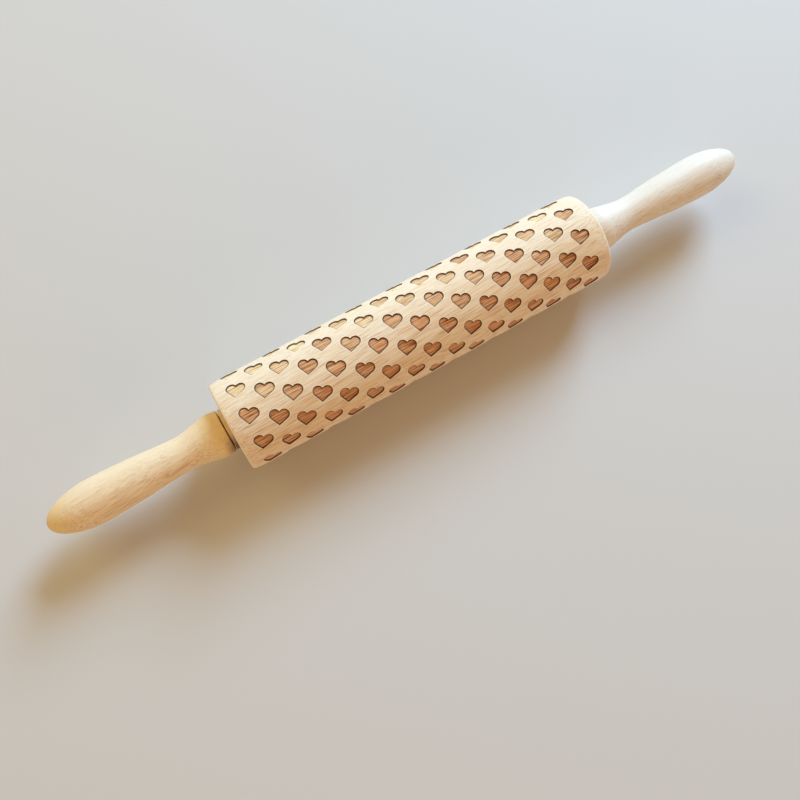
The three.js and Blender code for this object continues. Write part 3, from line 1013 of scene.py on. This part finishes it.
# %% Beech for one handle
# Painted warm light on the left handle: a warm yellow by the collar, which the roller shades from
# the cool key lamp, and at the butt, which turns away from it.
PAINTED_WARM_LIGHT, PAINTED_WARM_SHARE = colour(246, 214, 118), 0.5
PAINTED_SHADE_LENGTH = 6.0
HANDLE_ROUGHNESS, FLECK_ROUGHER, HANDLE_SPECULAR = 0.5, 0.2, 0.4
HANDLE_RELIEF = 0.04


def handle_wood(name, shift, pith, pale, tan, flecks, grain, painted_warm_places, joint_shade_amount):
    """Beech for one handle. Shift moves the grain in space. Painted warm places are (from, to)
    places along X where warm light is painted on, and the joint shade amount is how strongly
    painted shade shows at the collar."""
    material, tree, shader = new_material(name)
    place = place_mm(tree, shift)
    inputs = {"Place": place, "Facing": facing(tree), "Pith": pith, "Pale": pale, "Tan": tan}
    wood = place_group(tree, beech, inputs | {"Flecks": flecks, "Grain": grain})
    middle = place_mm(tree)
    along = add_node(tree, "SeparateXYZ", {0: middle}).outputs[0]
    tone = wood["Color"]
    # Painted warm light at the given places along X.
    for start, end in painted_warm_places:
        tone = tinted(tree, tone, PAINTED_WARM_LIGHT, soft_step(tree, along, start, end), PAINTED_WARM_SHARE)
    # Painted shade at the collar, on the low front near the joint.
    face = ROLLER_END + COLLAR_FACE
    near = soft_step(tree, maths(tree, "ABSOLUTE", along), face + PAINTED_SHADE_LENGTH, face)
    share = place_group(tree, painted_shade, {"Place": middle})["Share"]
    share = maths(tree, "MULTIPLY", near, share)
    fill_inputs(tree, shader, {
        "Base Color": tinted(tree, tone, PAINTED_SHADE_COLOUR, share, joint_shade_amount),
        "Roughness": maths(tree, "MULTIPLY_ADD", wood["Fleck"], FLECK_ROUGHER, HANDLE_ROUGHNESS),
        "Specular IOR Level": HANDLE_SPECULAR,
    })
    add_bump(tree, shader, wood["Height"], HANDLE_RELIEF)
    return material


print("grime reaches from the collar, in mm:", PAINTED_SHADE_LENGTH)

# %% Left and right handle
# The left handle gets painted warm light at its butt and by its collar.
left_wood = handle_wood(
    "beech_with_painted_warm_light",
    shift=(31.0, 12.0, 57.0),
    pith=(0.0, 76.0, 9.0),
    pale=colour(251, 234, 204),
    tan=colour(234, 188, 130),
    flecks=0.85,
    grain=0.75,
    painted_warm_places=((-198.0, -217.0), (-134.0, -118.0)),
    joint_shade_amount=0.75,
)
right_wood = handle_wood(
    "pale_beech",
    shift=(310.0, -40.0, 17.0),
    pith=(0.0, 34.0, -44.0),
    pale=colour(241, 235, 226),
    tan=colour(228, 206, 174),
    flecks=0.6,
    grain=0.7,
    painted_warm_places=(),
    joint_shade_amount=0.2,
)
handles["left"].data.materials.append(left_wood)
handles["right"].data.materials.append(right_wood)
print("handle woods:", left_wood.name, "and", right_wood.name)

# %% [markdown]
# ## Plastic and metal
# The bushes are tan nylon with a faint mottle. The rod, washers, nuts and inserts are turned or
# stamped metal, and all carry fine tool marks. The washers are painted dark: painted shade in the
# gap that they lie in, so that the gap looks dark. The marks are one group: thin rings round the
# rod, from noise that changes quickly with the distance along it.

# %% Group: tool marks
MARK_DETAIL = 3.0
CLOUD_SCALE = 0.3

marks, given, result = new_group(
    "tool_marks",
    [("Place", "Vector", None), ("Spacing", "Float", 0.2)],
    [("Height", "Float", None), ("Cloud", "Float", None)],
)
split = add_node(marks, "SeparateXYZ", {0: given["Place"]})
squared = maths(marks, "POWER", split.outputs[1], 2.0)
squared = maths(marks, "MULTIPLY_ADD", split.outputs[2], split.outputs[2], squared)
outwards = maths(marks, "SQRT", squared)
turning = add_node(marks, "CombineXYZ", {0: split.outputs[0], 1: outwards}).outputs[0]
inputs = {0: turning, "Scale": maths(marks, "DIVIDE", 1.0, given["Spacing"])}
spaced = add_node(marks, "VectorMath", inputs, operation="SCALE").outputs[0]
inputs = {"Vector": spaced, "Scale": 1.0, "Detail": MARK_DETAIL}
fine_marks = add_node(marks, "TexNoise", inputs).outputs[0]
inputs = {"Vector": given["Place"], "Scale": CLOUD_SCALE, "Detail": MARK_DETAIL}
cloud = add_node(marks, "TexNoise", inputs).outputs[0]
fill_inputs(marks, result, {"Height": fine_marks, "Cloud": cloud})
print("nodes in the tool mark group:", len(marks.nodes))

# %% Tooled finish
CLOUD_STEP = (0.35, 0.65)
GLOSS_SPREAD, GLOSS_LOWER = 0.25, 0.12


def tooled(name, bright, dull, roughness, spacing, relief, metallic=1.0, joint_shade_amount=0.0):
    """A turned or moulded finish: two tones in soft clouds, tool marks in its gloss and bump,
    and painted shade on the low front of the joint, if the joint shade amount is more than zero."""
    material, tree, shader = new_material(name)
    place = place_mm(tree)
    drawn = place_group(tree, marks, {"Place": place, "Spacing": spacing})
    tone = blended(tree, soft_step(tree, drawn["Cloud"], *CLOUD_STEP), dull, bright)
    # Painted shade at the joint, on the low front.
    if joint_shade_amount:
        share = place_group(tree, painted_shade, {"Place": place})["Share"]
        tone = tinted(tree, tone, PAINTED_SHADE_COLOUR, share, joint_shade_amount)
    gloss = roughness - GLOSS_LOWER
    gloss = maths(tree, "MULTIPLY_ADD", drawn["Height"], GLOSS_SPREAD, gloss)
    fill_inputs(tree, shader, {"Base Color": tone, "Roughness": gloss, "Metallic": metallic})
    add_bump(tree, shader, drawn["Height"], relief)
    return material


# %% Finishes
# Spacing is between two tool marks and relief is their depth, both in mm.
steel = tooled(
    "turned_steel", colour(214, 215, 217), colour(190, 191, 194),
    roughness=0.32, spacing=0.15, relief=0.006,
)
zinc = tooled(
    "zinc_plate", colour(214, 216, 212), colour(188, 192, 196),
    roughness=0.42, spacing=0.4, relief=0.004,
)
brass = tooled(
    "turned_brass", colour(226, 192, 112), colour(204, 164, 84),
    roughness=0.34, spacing=0.2, relief=0.006,
)
# Dark washer steel: painted shade in the gap between collar and bush.
gap_shade_steel = tooled(
    "dark_steel_painted_gap_shade", colour(96, 88, 80), colour(70, 62, 56),
    roughness=0.45, spacing=0.4, relief=0.004,
)
# The bush flanges get painted shade at the joint.
nylon = tooled(
    "tan_nylon", colour(234, 206, 160), colour(220, 188, 140),
    roughness=0.5, spacing=0.6, relief=0.01, metallic=0.0, joint_shade_amount=0.85,
)
print("finishes:", [finish.name for finish in (steel, zinc, brass, gap_shade_steel, nylon)])

# %% Finishes on their pieces
for bush in bushes.values():
    bush.data.materials.append(nylon)
finishes = {"axle_rod": steel}
for label in SIDES:
    finishes[f"{label}_thrust_washer"] = gap_shade_steel
    finishes[f"{label}_lock_nut"] = zinc
    finishes[f"{label}_threaded_insert"] = brass
for name, finish in finishes.items():
    node_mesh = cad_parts[name].data
    node_mesh.materials.clear()
    node_mesh.materials.append(finish)
print("finished CAD nodes:", sorted(finishes))
